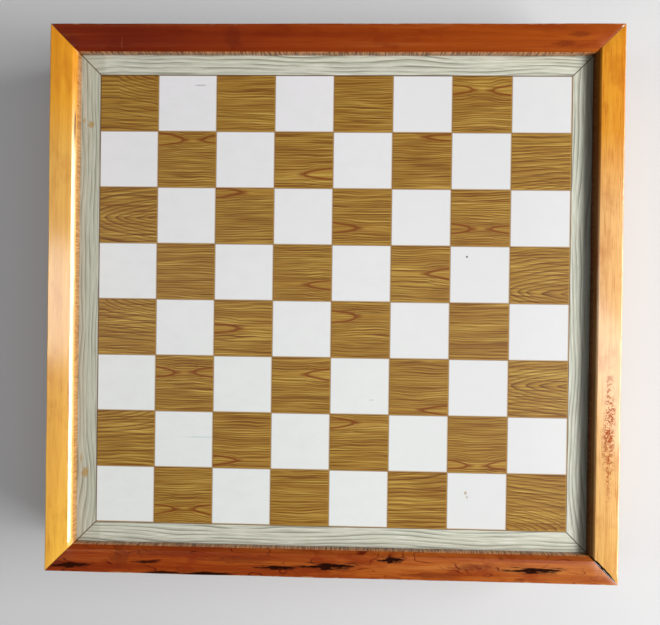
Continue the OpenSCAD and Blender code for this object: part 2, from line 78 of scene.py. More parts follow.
def srgb(r, g, b):
    """A colour given as 0 to 255 screen values, as the linear colour that a shader takes."""
    return tuple(
        (c / 255) / 12.92 if c / 255 <= 0.04045 else ((c / 255 + 0.055) / 1.055) ** 2.4 for c in (r, g, b)
    ) + (1.0,)


class Finish:
    """A material under construction: short calls that add a node and hand back its output."""

    def __init__(self, name, roughness=0.5, coat=0.0, coat_roughness=0.2, coat_ior=1.5, metallic=0.0,
                 sheen=0.0, specular=0.5):
        self.material = bpy.data.materials.new(name)
        self.material.use_nodes = True
        self.nodes = self.material.node_tree.nodes
        self.links = self.material.node_tree.links
        self.shader = self.nodes["Principled BSDF"]
        self.shader.inputs["Roughness"].default_value = roughness
        self.shader.inputs["Coat Weight"].default_value = coat
        self.shader.inputs["Coat Roughness"].default_value = coat_roughness
        self.shader.inputs["Coat IOR"].default_value = coat_ior
        self.shader.inputs["Metallic"].default_value = metallic
        self.shader.inputs["Sheen Weight"].default_value = sheen
        self.shader.inputs["Specular IOR Level"].default_value = specular
        place = self.nodes.new("ShaderNodeTexCoord").outputs["Object"]
        self.place = self.vector("MULTIPLY", place, (1000, 1000, 1000))     # millimetres
        self.x, self.y, self.z = self.split(self.place)

    def feed(self, socket, value):
        if isinstance(value, bpy.types.NodeSocket):
            self.links.new(value, socket)
        else:
            socket.default_value = value

    def math(self, operation, a, b=0.0, clamp=False):
        node = self.nodes.new("ShaderNodeMath")
        node.operation = operation
        node.use_clamp = clamp
        for socket, value in zip(node.inputs, (a, b)):
            self.feed(socket, value)
        return node.outputs[0]

    def add(self, a, b):
        return self.math("ADD", a, b)

    def sub(self, a, b):
        return self.math("SUBTRACT", a, b)

    def mul(self, a, b):
        return self.math("MULTIPLY", a, b)

    def vector(self, operation, a, b):
        node = self.nodes.new("ShaderNodeVectorMath")
        node.operation = operation
        self.feed(node.inputs[0], a)
        self.feed(node.inputs[1], b)
        return node.outputs[0]

    def split(self, vector):
        node = self.nodes.new("ShaderNodeSeparateXYZ")
        self.feed(node.inputs[0], vector)
        return node.outputs[0], node.outputs[1], node.outputs[2]

    def join(self, x, y, z=0.0):
        node = self.nodes.new("ShaderNodeCombineXYZ")
        for socket, value in zip(node.inputs, (x, y, z)):
            self.feed(socket, value)
        return node.outputs[0]

    def attribute(self, name):
        node = self.nodes.new("ShaderNodeAttribute")
        node.attribute_name = name
        return node

    def noise(self, vector, scale=1.0, detail=2.0, roughness=0.5, distortion=0.0):
        node = self.nodes.new("ShaderNodeTexNoise")
        self.feed(node.inputs["Vector"], vector)
        self.feed(node.inputs["Scale"], scale)
        self.feed(node.inputs["Detail"], detail)
        self.feed(node.inputs["Roughness"], roughness)
        self.feed(node.inputs["Distortion"], distortion)
        return node.outputs["Fac"]

    def stretched(self, x, y, z):
        """Object coordinates with a grain length, in millimetres, along each axis."""
        return self.vector("MULTIPLY", self.place, (1 / x, 1 / y, 1 / z))

    def ramp(self, value, *stops):
        """Stops are (position, colour)."""
        node = self.nodes.new("ShaderNodeValToRGB")
        self.feed(node.inputs[0], value)
        while len(node.color_ramp.elements) < len(stops):
            node.color_ramp.elements.new(0.5)
        for element, (position, colour) in zip(node.color_ramp.elements, sorted(stops, key=lambda s: s[0])):
            element.position = position
            element.color = colour
        return node.outputs[0]

    def span(self, value, low, high, to_low=0.0, to_high=1.0):
        """Maps low..high to to_low..to_high, smoothly, and holds outside."""
        node = self.nodes.new("ShaderNodeMapRange")
        node.interpolation_type = "SMOOTHSTEP"
        for socket, number in zip(node.inputs, (value, low, high, to_low, to_high)):
            self.feed(socket, number)
        return node.outputs[0]

    def span_linear(self, value, low, high, to_low=0.0, to_high=1.0):
        """As span, along a straight line."""
        node = self.nodes.new("ShaderNodeMapRange")
        for socket, number in zip(node.inputs, (value, low, high, to_low, to_high)):
            self.feed(socket, number)
        return node.outputs[0]

    def late_wood(self, phase, sharpness=3.0):
        """One grain line for each whole number of phase: it darkens slowly and ends sharply."""
        part = self.math("FRACT", phase)
        rise = self.math("POWER", part, sharpness)
        return self.mul(rise, self.span(part, 1.0, 0.93))

    def contour(self, value, count, width):
        """Thin lines along the level curves of value."""
        part = self.math("FRACT", self.mul(value, count))
        return self.span(self.math("ABSOLUTE", self.sub(part, 0.5)), width, 0.0)

    def mix(self, amount, a, b, blend="MIX"):
        node = self.nodes.new("ShaderNodeMix")
        node.data_type = "RGBA"
        node.blend_type = blend
        self.feed(node.inputs[0], amount)
        self.feed(node.inputs[6], a)
        self.feed(node.inputs[7], b)
        return node.outputs[2]

    def bump(self, height, distance, strength=1.0):
        node = self.nodes.new("ShaderNodeBump")
        node.inputs["Distance"].default_value = distance
        node.inputs["Strength"].default_value = strength
        self.feed(node.inputs["Height"], height)
        self.feed(self.shader.inputs["Normal"], node.outputs[0])
        if self.shader.inputs["Coat Weight"].default_value > 0:
            self.feed(self.shader.inputs["Coat Normal"], node.outputs[0])

    def colour(self, value):
        self.feed(self.shader.inputs["Base Color"], value)

    def roughness(self, value):
        self.feed(self.shader.inputs["Roughness"], value)

    def patch(self, centre, radii, wobble=0.35, edge=0.25):
        """A soft-edged ellipse round centre, in millimetres, with an uneven outline."""
        rx, ry, rz = radii
        away = self.vector("SUBTRACT", self.place, centre)
        near = self.vector("MULTIPLY", away, (1 / rx, 1 / ry, 1 / rz))
        node = self.nodes.new("ShaderNodeVectorMath")
        node.operation = "LENGTH"
        self.feed(node.inputs[0], near)
        uneven = self.mul(self.sub(self.noise(near, 1.7, 3.0, 0.6), 0.5), 2 * wobble)
        return self.span(self.add(node.outputs["Value"], uneven), 1.0, 1.0 - edge, 0.0, 1.0)


def slice_through(bm, place, direction):
    """Cuts every face along a plane."""
    everything = bm.verts[:] + bm.edges[:] + bm.faces[:]
    bmesh.ops.bisect_plane(bm, geom=everything, plane_co=place, plane_no=direction)


def eased(node, body, slot, material, ease=0.3, sharp=35.0, wander=0.0, spacing=0.0):
    """Stands for a CAD node with a piece of the same shape whose sharp edges are eased and whose round
    faces are smooth. ease is in millimetres. wander moves the surface by that much, in millimetres,
    along a slow random path, for wood that is not quite straight, with cuts a spacing apart. The path
    has no fixed seed, so the pieces that wander differ by fractions of a millimetre in each run."""
    bm = bmesh.new()
    bm.from_mesh(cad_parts[node].data)
    bmesh.ops.remove_doubles(bm, verts=bm.verts, dist=MERGE)
    bmesh.ops.dissolve_limit(bm, angle_limit=FLAT, verts=bm.verts, edges=bm.edges)
    if ease:
        turn = math.radians(sharp)
        corners = [e for e in bm.edges if len(e.link_faces) == 2 and e.calc_face_angle() > turn]
        bmesh.ops.bevel(bm, geom=corners, offset=ease * MM, offset_type="OFFSET", segments=2, profile=0.5,
                        affect="EDGES", clamp_overlap=True, material=-1)
    if spacing:
        low, high = (Vector(corner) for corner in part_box(node))
        along = 0 if high.x - low.x > high.y - low.y else 1
        steps = int((high[along] - low[along]) / (spacing * MM))
        across = Vector((1, 0, 0)) if along == 0 else Vector((0, 1, 0))
        for i in range(1, steps):
            place = low + (high - low) * (i / steps)
            slice_through(bm, place, across)
        for vert in bm.verts:
            vert.co += noise.noise_vector(vert.co / WAVE) * wander * MM
            vert.co.z = max(vert.co.z, 0.0)
    for edge in bm.edges:
        edge.smooth = len(edge.link_faces) != 2 or edge.calc_face_angle() < math.radians(sharp)
    piece(bm, node + "_finished", body, [material], replaces=[node], smooth=True)


# ---- camera, light and floor ----

def set_camera():
    camera = bpy.data.objects.new("camera", bpy.data.cameras.new("camera"))
    bpy.context.scene.collection.objects.link(camera)
    camera.location = CAMERA_PLACE
    camera.rotation_euler = CAMERA_TURN
    camera.data.sensor_width = SENSOR
    camera.data.lens = LENS
    camera.data.clip_start = 0.01
    bpy.context.scene.camera = camera


def area_light(name, place, size, watts, colour):
    light = bpy.data.lights.new(name, "AREA")
    light.shape = "RECTANGLE"
    light.size, light.size_y = size
    light.energy = watts
    light.color = colour
    lamp = bpy.data.objects.new(name, light)
    bpy.context.scene.collection.objects.link(lamp)
    lamp.location = place
    lamp.rotation_euler = (Vector(ROOM_MIDDLE) - Vector(place)).to_track_quat("-Z", "Y").to_euler()


def set_light():
    area_light("window_right", (1.27, -0.16, 0.95), size=(1.5, 0.55), watts=33, colour=(1.0, 0.99, 0.97))
    area_light("card_left", (-0.76, 0.01, 1.25), size=(0.30, 1.10), watts=4.3, colour=LIGHT_TINT)
    area_light("card_right", (0.70, -0.17, 1.25), size=(0.30, 1.30), watts=4.6, colour=LIGHT_TINT)
    world = bpy.data.worlds.new("room")
    bpy.context.scene.world = world
    world.use_nodes = True
    world.node_tree.nodes["Background"].inputs[0].default_value = SKY
    world.node_tree.nodes["Background"].inputs[1].default_value = SKY_STRENGTH
    bpy.context.scene.view_settings.view_transform = "Standard"


def lay_floor():
    bm = bmesh.new()
    bmesh.ops.create_grid(bm, x_segments=1, y_segments=1, size=3.0)
    mesh = bpy.data.meshes.new("floor")
    bm.to_mesh(mesh)
    bm.free()
    floor = bpy.data.objects.new("floor", mesh)
    bpy.context.scene.collection.objects.link(floor)
    pale = Finish("pale_floor", roughness=0.9)
    pale.colour(srgb(206, 207, 209))
    mesh.materials.append(pale.material)


# ---- the printed sheet ----

# The figure in the printed grain of each dark square, by row from the back and column from the left:
# (kind, how far down the square its axis lies, how far across its tip is, half its width). A lens
# or a nest opens to the right or to the left of its tip, and a waist opens both ways. A nest's lines
# cross its axis. Squares that are not listed have nearly straight grain.
FIGURES = {
    (1, 1): ("nest right", -0.04, 0.80, 0.20),
    (1, 7): ("waist", 0.25, 0.50, 0.13),
    (2, 2): ("waist", 0.13, 0.60, 0.13),
    (2, 4): ("lens right", 0.75, 0.50, 0.10),
    (2, 6): ("lens right", 0.08, 0.55, 0.07),
    (2, 8): ("nest right", 1.05, 0.30, 0.10),
    (3, 1): ("nest right", 0.55, 0.45, 0.16),
    (3, 3): ("lens left", 0.09, 0.45, 0.08),
    (3, 5): ("lens left", 0.70, 0.42, 0.10),
    (3, 7): ("waist", 0.70, 0.50, 0.12),
    (4, 4): ("lens right", 0.72, 0.58, 0.12),
    (4, 6): ("lens right", 0.49, 0.60, 0.10),
    (4, 8): ("nest right", 0.80, 0.45, 0.14),
    (5, 1): ("nest right", -0.04, 0.60, 0.18),
    (5, 3): ("lens left", 0.50, 0.42, 0.10),
    (5, 5): ("lens left", 0.27, 0.42, 0.14),
    (6, 2): ("waist", 0.30, 0.50, 0.13),
    (6, 4): ("lens right", 0.30, 0.58, 0.11),
    (6, 6): ("lens right", 0.90, 0.55, 0.10),
    (6, 8): ("nest right", 0.45, 0.42, 0.14),
    (7, 1): ("nest left", -0.10, 0.45, 0.12),
    (7, 3): ("lens left", 0.85, 0.42, 0.11),
    (7, 5): ("lens left", 0.15, 0.42, 0.11),
    (7, 7): ("waist", 0.85, 0.50, 0.12),
    (8, 2): ("waist", 0.75, 0.52, 0.13),
    (8, 6): ("nest left", -0.25, 0.40, 0.10),
    (8, 8): ("nest left", 0.98, 0.42, 0.20),
}
WAIST_GAP = 0.16                          # from the middle of a waist to either tip, in squares
GRAIN_LINES = 24.0                        # to a square
NEST_LINES = 12.0
THREADS = 64.0                            # fine fibres to a square
GLUE = srgb(164, 130, 62)
PRINT_EDGE = -OPEN_X / MM


def printed_walnut():
    """The dark squares: a printed grain whose lines run round the figure written on each square."""
    made = Finish("printed_walnut", roughness=0.42, specular=0.25)
    across, down, _ = made.split(made.attribute("square").outputs["Vector"])
    tip, axis, width = made.split(made.attribute("figure").outputs["Vector"])
    opens, nest, seed = made.split(made.attribute("figure_form").outputs["Vector"])
    bend = made.noise(made.join(made.mul(across, 0.9), made.mul(down, 2.2), seed), 1.0, 2.0)
    sway = made.mul(made.sub(bend, 0.5), 0.14)
    u = made.sub(across, tip)
    v = made.add(made.sub(down, axis), sway)
    both = made.sub(1.0, made.math("ABSOLUTE", opens))
    inside = made.add(made.mul(u, opens), made.mul(both, made.sub(made.math("ABSOLUTE", u), WAIST_GAP)))
    off_axis = made.math("ABSOLUTE", v)
    opening = made.math("POWER", made.math("MULTIPLY", inside, 2.4, clamp=True), 0.66)
    lens = made.mul(made.mul(width, opening), made.math("EXPONENT", made.mul(off_axis, -4.5)))
    nested = made.span(nest, 0.0, 0.05)
    reach = made.add(inside, made.mul(nested, 0.5))
    deep = made.math("POWER", made.math("MAXIMUM", reach, 0.0), 0.85)
    wedge = made.mul(made.mul(made.mul(nest, 2.8), deep), made.math("EXPONENT", made.mul(off_axis, -2.0)))
    rounded = made.math("SQRT", made.add(made.mul(v, v), made.span(nested, 0.0, 1.0, 0.0006, 0.003)))
    ring = made.sub(made.sub(rounded, lens), wedge)
    uneven = made.mul(made.noise(made.join(made.mul(ring, 4.0), seed, made.mul(across, 0.3)), 1.0, 1.0), 2.4)
    faded = made.noise(made.join(made.mul(ring, 9.0), seed, made.mul(across, 1.1)), 1.0, 1.0)
    clear = made.math("MAXIMUM", made.span(ring, 0.035, 0.075, 0.0, 1.0), nested)
    rate = made.span(nested, 0.0, 1.0, GRAIN_LINES, NEST_LINES)
    lines = made.late_wood(made.add(made.mul(ring, rate), uneven), 2.6)
    beside = made.mul(made.span(ring, 0.30, 0.12), made.span(reach, -0.3, 0.0))
    strength = made.math("MAXIMUM", made.span(faded, 0.30, 0.55, 0.45, 1.0), beside)
    lines = made.mul(made.mul(lines, strength), clear)
    rim = made.span(made.math("ABSOLUTE", made.sub(ring, 0.018)), 0.036, 0.004)
    rim = made.mul(rim, made.math("MINIMUM", made.mul(width, 14.0), 0.85))
    rim = made.mul(rim, made.span(inside, -0.16, 0.0))
    swayed = made.add(down, sway)
    threads = made.noise(made.join(made.mul(across, 0.9), made.mul(swayed, THREADS), seed), 1.0, 2.0, 0.6)
    broad = made.noise(made.join(made.mul(across, 0.7), made.mul(swayed, 6.0), seed), 1.0, 2.0)
    colour = made.ramp(
        threads,
        (0.36, srgb(110, 66, 20)),
        (0.45, srgb(154, 114, 44)),
        (0.56, srgb(172, 136, 56)),
        (0.68, srgb(200, 166, 86)),
    )
    colour = made.mix(made.span(broad, 0.38, 0.62, 0.4, 0.0), colour, srgb(136, 90, 30))
    colour = made.mix(lines, colour, srgb(82, 34, 4))
    colour = made.mix(rim, colour, srgb(112, 48, 6))
    colour = edge_line(made, across, down, colour)
    made.colour(colour)
    made.bump(threads, 0.00002)
    return made.material


def edge_line(made, across, down, colour):
    """A thin dark line on the left and top of each square and an ochre one on the right and bottom,
    where the print is out of register."""
    near_start = made.math("MINIMUM", across, down)
    near_end = made.math("MINIMUM", made.sub(1.0, across), made.sub(1.0, down))
    colour = made.mix(made.span(near_end, 0.020, 0.010, 0.0, 0.8), colour, srgb(166, 128, 62))
    return made.mix(made.span(near_start, 0.013, 0.005, 0.0, 0.7), colour, srgb(104, 70, 34))


def printed_white():
    made = Finish("printed_white", roughness=0.45, specular=0.3)
    across, down, _ = made.split(made.attribute("square").outputs["Vector"])
    drift = made.span(made.y, -150.0, 150.0)
    colour = made.mix(drift, srgb(220, 224, 222), srgb(222, 221, 224))
    # Painted shade: the whites are painted darker towards the right, to temper the stronger light that falls
    # from the right.
    colour = made.mix(made.span(made.x, 10.0, 130.0, 0.0, 0.9), colour, srgb(211, 212, 213))
    mottle = made.noise(made.stretched(14, 9, 10), 1.0, 4.0, 0.6)
    colour = made.mix(made.span(mottle, 0.35, 0.75, 0.0, 0.5), colour, srgb(215, 216, 217))
    weave = made.noise(made.stretched(1.3, 0.5, 10), 1.0, 1.0)
    colour = made.mix(made.span(weave, 0.5, 0.75, 0.0, 0.25), colour, srgb(209, 210, 212))
    specks = made.noise(made.stretched(1.1, 0.9, 10), 1.0, 2.0)
    colour = made.mix(made.span(specks, 0.765, 0.80, 0.0, 0.6), colour, srgb(170, 168, 166))
    scuff = made.patch((-91, 146.5, 60), (4.6, 0.6, 20), 0.7)
    colour = made.mix(made.mul(scuff, 0.6), colour, srgb(158, 158, 160))
    colour = stains(made, colour, [
        ((91.2, 31.3, 60), (0.9, 0.8, 20), 0.4, 0.95, srgb(40, 36, 34)),
        ((92.4, -128.4, 60), (1.2, 1.4, 20), 0.7, 0.8, srgb(170, 146, 116)),
        ((93.4, -131.2, 60), (0.9, 1.0, 20), 0.7, 0.7, srgb(170, 146, 116)),
        ((28.0, -66.6, 60), (1.9, 0.45, 20), 0.6, 0.6, srgb(178, 160, 132)),
        ((-89.0, -94.0, 60), (15, 0.5, 20), 0.9, 0.35, srgb(120, 170, 180)),
    ])
    colour = edge_line(made, across, down, colour)
    made.colour(colour)
    made.roughness(made.span(mottle, 0.3, 0.7, 0.38, 0.52))
    return made.material


def printed_border():
    """The grey weathered-wood strips round the squares. The square attribute runs along each strip."""
    made = Finish("printed_border", roughness=0.45, specular=0.3)
    along, over, _ = made.split(made.attribute("square").outputs["Vector"])
    drift = made.mul(made.noise(made.join(made.mul(along, 0.16), made.mul(over, 0.5)), 1.0, 1.0), 5.0)
    phase = made.add(made.mul(over, 5.0), drift)
    strength = made.span(made.noise(made.join(made.mul(along, 0.3), phase), 1.0, 1.0), 0.32, 0.62, 0.2, 1.0)
    lines = made.mul(made.late_wood(phase, 2.0), strength)
    fine = made.noise(made.join(made.mul(along, 0.9), made.mul(over, 30.0)), 1.0, 2.0, 0.6)
    colour = made.ramp(
        fine,
        (0.30, srgb(174, 175, 158)),
        (0.50, srgb(200, 201, 186)),
        (0.72, srgb(219, 220, 208)),
    )
    colour = made.mix(lines, colour, srgb(104, 104, 86))
    left = made.span(made.x, -PRINT_EDGE + BORDER / MM + 4, -PRINT_EDGE + BORDER / MM + 1, 0.0, 0.30)
    colour = made.mix(left, colour, srgb(140, 138, 118))
    # Painted shadow: the last few millimetres of the right strip are painted darker where the right rail's
    # shadow falls on it.
    right = made.span(made.x, PRINT_EDGE - 9.0, PRINT_EDGE - 3.0, 0.0, 0.7)
    colour = made.mix(right, colour, srgb(78, 74, 60))
    colour = stains(made, colour, [
        ((-166.5, 119.5, 60), (3.0, 2.8, 20), 0.9, 0.75, GLUE),
        ((-171.5, 122.0, 60), (1.2, 2.2, 20), 0.9, 0.6, GLUE),
        ((-168.0, -119.5, 60), (3.2, 4.2, 20), 0.9, 0.75, GLUE),
        ((-171.0, -110.0, 60), (1.0, 3.6, 20), 0.9, 0.6, GLUE),
    ])
    past_x = made.sub(made.math("ABSOLUTE", made.x), SQUARES / 2 * SQUARE_X / MM)
    past_y = made.sub(made.math("ABSOLUTE", made.y), SQUARES / 2 * SQUARE_Y / MM)
    off_mitre = made.math("ABSOLUTE", made.sub(past_x, past_y))
    outside = made.span(made.math("MINIMUM", past_x, past_y), 0.0, 0.2)
    mitre = made.mul(made.span(off_mitre, 0.62, 0.30), outside)
    made.colour(made.mix(mitre, colour, srgb(84, 56, 34)))
    made.bump(lines, 0.00002)
    return made.material


def printed_line():
    made = Finish("printed_line", roughness=0.45)
    made.colour(made.mix(made.noise(made.place, 0.4, 2.0), srgb(74, 48, 26), srgb(104, 74, 44)))
    return made.material


def board_print():
    """The printed sheet: squares, border strips and outline are faces of one thin slab."""
    bm = bmesh.new()
    square = bm.loops.layers.float_vector.new("square")
    figure = bm.faces.layers.float_vector.new("figure")
    figure_form = bm.faces.layers.float_vector.new("figure_form")
    top = bmesh.ops.create_grid(bm, x_segments=1, y_segments=1, size=0.5)["verts"]
    size = PRINT_HIGH - PRINT_LOW
    bmesh.ops.scale(bm, vec=(size.x, size.y, 1), verts=top)
    bmesh.ops.translate(bm, vec=(0, 0, PLAY_Z), verts=top)

    half_x, half_y = SQUARES / 2 * SQUARE_X, SQUARES / 2 * SQUARE_Y
    line = 0.45 * MM
    for i in range(SQUARES + 1):
        slice_through(bm, ((i - SQUARES / 2) * SQUARE_X, 0, 0), (1, 0, 0))
        slice_through(bm, (0, (i - SQUARES / 2) * SQUARE_Y, 0), (0, 1, 0))
    for side in (-1, 1):
        slice_through(bm, (side * (half_x + line), 0, 0), (1, 0, 0))
        slice_through(bm, (0, side * (half_y + line), 0), (0, 1, 0))
    for sx in (-1, 1):
        for sy in (-1, 1):
            slice_through(bm, (sx * half_x, sy * half_y, 0), (sy, -sx, 0))
    whites, walnuts, borders, lines = 0, 1, 2, 3
    for face in bm.faces:
        middle = face.calc_center_median()
        column = math.floor(middle.x / SQUARE_X + SQUARES / 2)
        row = SQUARES - 1 - math.floor(middle.y / SQUARE_Y + SQUARES / 2)
        on_field = abs(middle.x) < half_x and abs(middle.y) < half_y
        if on_field:
            dark = (row + column) % 2 == 0
            face.material_index = walnuts if dark else whites
            for loop in face.loops:
                loop[square] = (
                    loop.vert.co.x / SQUARE_X + SQUARES / 2 - column,
                    SQUARES - row - (loop.vert.co.y / SQUARE_Y + SQUARES / 2),
                    0,
                )
            kind, axis, tip, width = FIGURES.get((row + 1, column + 1), ("straight", -0.9, 0.5, 0.0))
            opens = 1 if kind.endswith("right") else -1 if kind.endswith("left") else 0
            nested = kind.startswith("nest")
            face[figure] = (tip, axis, 0.0 if nested else width)
            face[figure_form] = (opens, width if nested else 0.0, row * 3.7 + column * 1.3)
        elif abs(middle.x) < half_x + line and abs(middle.y) < half_y + line:
            face.material_index = lines
        else:
            face.material_index = borders
            beside = abs(middle.x) - half_x > abs(middle.y) - half_y
            # each strip starts in its own part of the grain
            for loop in face.loops:
                x, y = loop.vert.co.x / BORDER, loop.vert.co.y / BORDER
                if beside:
                    loop[square] = (y, abs(x) - half_x / BORDER + (40 if middle.x > 0 else 20), 0)
                else:
                    loop[square] = (x + 7, abs(y) - half_y / BORDER + (60 if middle.y > 0 else 0), 0)
    skin = bm.faces[:]
    bmesh.ops.solidify(bm, geom=skin, thickness=size.z)
    bake_uv(bm, lambda co: (co.x / size.x + 0.5, co.y / size.y + 0.5), PLAY_Z - size.z / 4)
    materials = [printed_white(), printed_walnut(), printed_border(), printed_line()]
    piece(bm, "board_print_sheet", "lid", materials, replaces=["board_print"])


def bake_uv(bm, where, above):
    """An unwrapping that gives nearly the whole map to the faces above a height, and a thin strip
    along its lower edge to the rest."""
    layer = bm.loops.layers.uv.new("OFBake")
    for face in bm.faces:
        upper = face.calc_center_median().z > above and face.normal.z > 0.5
        for loop in face.loops:
            u, v = where(loop.vert.co)
            if upper:
                loop[layer].uv = (0.01 + 0.98 * u, 0.04 + 0.95 * v)
            else:
                loop[layer].uv = (0.01 + 0.98 * u, 0.002 + 0.03 * v)


def piece(bm, name, body, materials, replaces=(), smooth=False):
    mesh = bpy.data.meshes.new(name)
    bm.normal_update()
    bm.to_mesh(mesh)
    bm.free()
    made = bpy.data.objects.new(name, mesh)
    bpy.context.scene.collection.objects.link(made)
    for material in materials:
        mesh.materials.append(material)
    if smooth:
        for face in mesh.polygons:
            face.use_smooth = True
    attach(made, body)
    if replaces:
        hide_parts(*replaces)
    return made


# ---- lid rails ----

def varnished_rail(name, side, tints, streak, contrast, flame=0.0, gloss=0.16, coat_ior=1.5, raw=0.75):
    """Varnished softwood, with its grain along the rail. tints are colours at places along the rail,
    from -1 to 1, and raw is how bare the sawn inner face is. It hands back the finish and its colour."""
    made = Finish(name, roughness=0.45, coat=1.0, coat_roughness=gloss, coat_ior=coat_ior, specular=0.0)
    across_x = side in ("front", "back")
    run = made.x if across_x else made.y
    half = (FRONT_HIGH.x if across_x else -FRONT_LOW.y) / MM
    opening = -(OPEN_Y if across_x else OPEN_X) / MM
    over = made.sub(made.math("ABSOLUTE", made.y if across_x else made.x), opening)

    def grain(long, wide):
        return made.stretched(long, wide, wide) if across_x else made.stretched(wide, long, wide)

    base = made.ramp(made.span_linear(run, -half, half), *[((p + 1) / 2, c) for p, c in tints])
    figure = made.noise(grain(150, 6), 1.0, 3.0, 0.55, 0.4)
    fibres = made.noise(grain(22, 0.5), 1.0, 3.0, 0.6)
    cloud = made.noise(grain(26, 12), 1.0, 3.0, 0.6)
    dark = made.mix(1.0, base, srgb(196, 140, 90), "MULTIPLY")
    light = made.mix(0.14, base, srgb(255, 206, 120))
    colour = made.mix(made.span(figure, 0.36, 0.60, contrast, 0.0), base, dark)
    colour = made.mix(made.span(figure, 0.55, 0.75, 0.0, contrast), colour, light)
    colour = made.mix(made.span(cloud, 0.50, 0.30, 0.0, contrast), colour, dark)
    colour = made.mix(made.span(fibres, 0.50, 0.32, 0.0, streak), colour, dark)
    if flame:
        loops = made.contour(made.noise(grain(40, 14), 1.0, 2.0, 0.5, 0.5), 6.0, 0.08)
        faint = made.span(made.noise(grain(22, 9), 1.0, 2.0), 0.40, 0.62, 0.0, flame)
        colour = made.mix(made.mul(loops, faint), colour, made.mix(1.0, base, srgb(136, 70, 40), "MULTIPLY"))
    saw = made.noise(made.stretched(0.8, 30, 9) if across_x else made.stretched(30, 0.8, 9), 1.0, 2.0, 0.7)
    sawn = made.mix(made.span(saw, 0.35, 0.62), srgb(112, 64, 28), srgb(216, 158, 104))
    colour = made.mix(made.span(over, 0.5, 0.1, 0.0, raw), colour, sawn)
    worn = made.span(made.noise(grain(9, 2.5), 1.0, 3.0, 0.7), 0.48, 0.66)
    edge = made.span(made.math("ABSOLUTE", made.sub(over, RAIL_WIDTH / MM - 0.4)), 0.9, 0.2)
    edge = made.mul(edge, made.span(made.z, RAIL_TOP / MM - 2.6, RAIL_TOP / MM - 1.0))
    colour = made.mix(made.mul(made.mul(edge, worn), 0.55), colour, made.mix(0.5, base, srgb(255, 226, 180)))
    made.bump(made.add(made.mul(fibres, 0.4), made.mul(cloud, 0.6)), 0.00014, 0.4)
    return made, colour


def stains(made, colour, marks):
    """Lays marks over a colour. Each is (middle, radii, unevenness, strength, colour), in millimetres."""
    for middle, radii, wobble, strength, tone in marks:
        colour = made.mix(made.mul(made.patch(middle, radii, wobble, 0.5), strength), colour, tone)
    return colour


def bare_marks(made, colour, low, high):
    """The varnish has flaked off the darkest marks, so they don't shine."""
    red = made.split(colour)[0]
    made.feed(made.shader.inputs["Coat Weight"], made.span(red, low, high, 0.1, 1.0))


def open_mitre(made, colour, side):
    """The dark gap where the glue of the front right corner has let go, wider in its middle."""
    corner_x, corner_y = -OPEN_X / MM, OPEN_Y / MM
    out_x, out_y = made.sub(made.x, corner_x), made.sub(corner_y, made.y)
    off = made.math("ABSOLUTE", made.sub(out_x, out_y))
    ragged = made.mul(made.sub(made.noise(made.place, 0.45, 3.0, 0.7), 0.5), 1.6 if side == "right" else 0.5)
    from_middle = made.math("ABSOLUTE", made.sub(out_x, 8.0))
    widest = 1.75 if side == "right" else 0.7
    width = made.add(made.span(from_middle, 10.5, 2.0, 0.0, widest), ragged)
    gap = made.span(made.sub(off, width), 0.25, -0.1)
    return made.mix(made.mul(gap, made.span(out_x, -0.5, 0.5)), colour, srgb(14, 8, 5))


RESIN = srgb(36, 12, 5)
BURNT = srgb(104, 38, 8)
DRIP = srgb(180, 104, 34)
RAIL_EASE = {"ease": 0.45, "wander": 0.22, "spacing": 7.0}
WALL_EASE = {"ease": 0.6, "wander": 0.2, "spacing": 9.0}


def finish_left_rail():
    # These tints are partly the wood's own tone and partly painted sheen: the pale middle, and the rail being
    # lighter than the front and back rails, stand for light reflected in the varnish.
    made, colour = varnished_rail("varnish_left", "left", [
        (-1.0, srgb(250, 192, 70)), (-0.62, srgb(247, 188, 84)), (0.0, srgb(236, 178, 92)),
        (0.5, srgb(240, 188, 94)), (0.72, srgb(242, 172, 50)), (1.0, srgb(232, 152, 24))],
        0.3, 0.25, gloss=0.16, coat_ior=1.75, raw=0.7)
    colour = stains(made, colour, [
        ((-174.9, 116, 68), (0.42, 13, 9), 0.35, 0.9, RESIN),
        ((-175.6, -18, 68), (0.8, 15, 9), 0.9, 0.8, DRIP),
        ((-176.0, -58, 68), (1.3, 26, 9), 0.9, 0.8, DRIP),
        ((-175.8, -104, 68), (1.0, 15, 9), 1.0, 0.8, srgb(150, 76, 26)),
    ])
    bare_marks(made, colour, 0.05, 0.25)
    made.colour(colour)
    eased("lid_rail_left", "lid", "varnished_pine", made.material, **RAIL_EASE)


def finish_right_rail():
    # These tints are partly the wood's own tone and partly painted sheen: the pale front and middle, and the
    # rail being lighter than the front and back rails, stand for light reflected in the varnish.
    made, colour = varnished_rail("varnish_right", "right", [
        (-1.0, srgb(236, 184, 102)), (-0.5, srgb(236, 186, 120)), (0.35, srgb(236, 184, 118)),
        (0.62, srgb(228, 156, 48)), (1.0, srgb(222, 146, 28))], 0.55, 0.35, gloss=0.16, coat_ior=1.75)
    rough = made.noise(made.stretched(2.6, 2.6, 6), 1.0, 4.0, 0.75, 1.2)
    field = made.patch((184.5, -80, 68), (5.6, 56, 12), 0.6, 0.7)
    crackle = made.mul(made.span(rough, 0.47, 0.53), field)
    colour = made.mix(crackle, colour, srgb(160, 70, 14))
    made.roughness(made.span(crackle, 0.0, 0.6, 0.45, 0.9))
    # Painted shade: the right rail's inner face and chamfer, which face away from the light, are painted dark
    # brown.
    into_shade = made.sub(made.x, -OPEN_X / MM)
    colour = made.mix(made.span(into_shade, 2.9, 1.2, 0.0, 0.85), colour, srgb(64, 28, 8))
    colour = open_mitre(made, colour, "right")
    bare_marks(made, colour, 0.3, 0.6)
    made.colour(colour)
    eased("lid_rail_right", "lid", "varnished_pine", made.material, **RAIL_EASE)


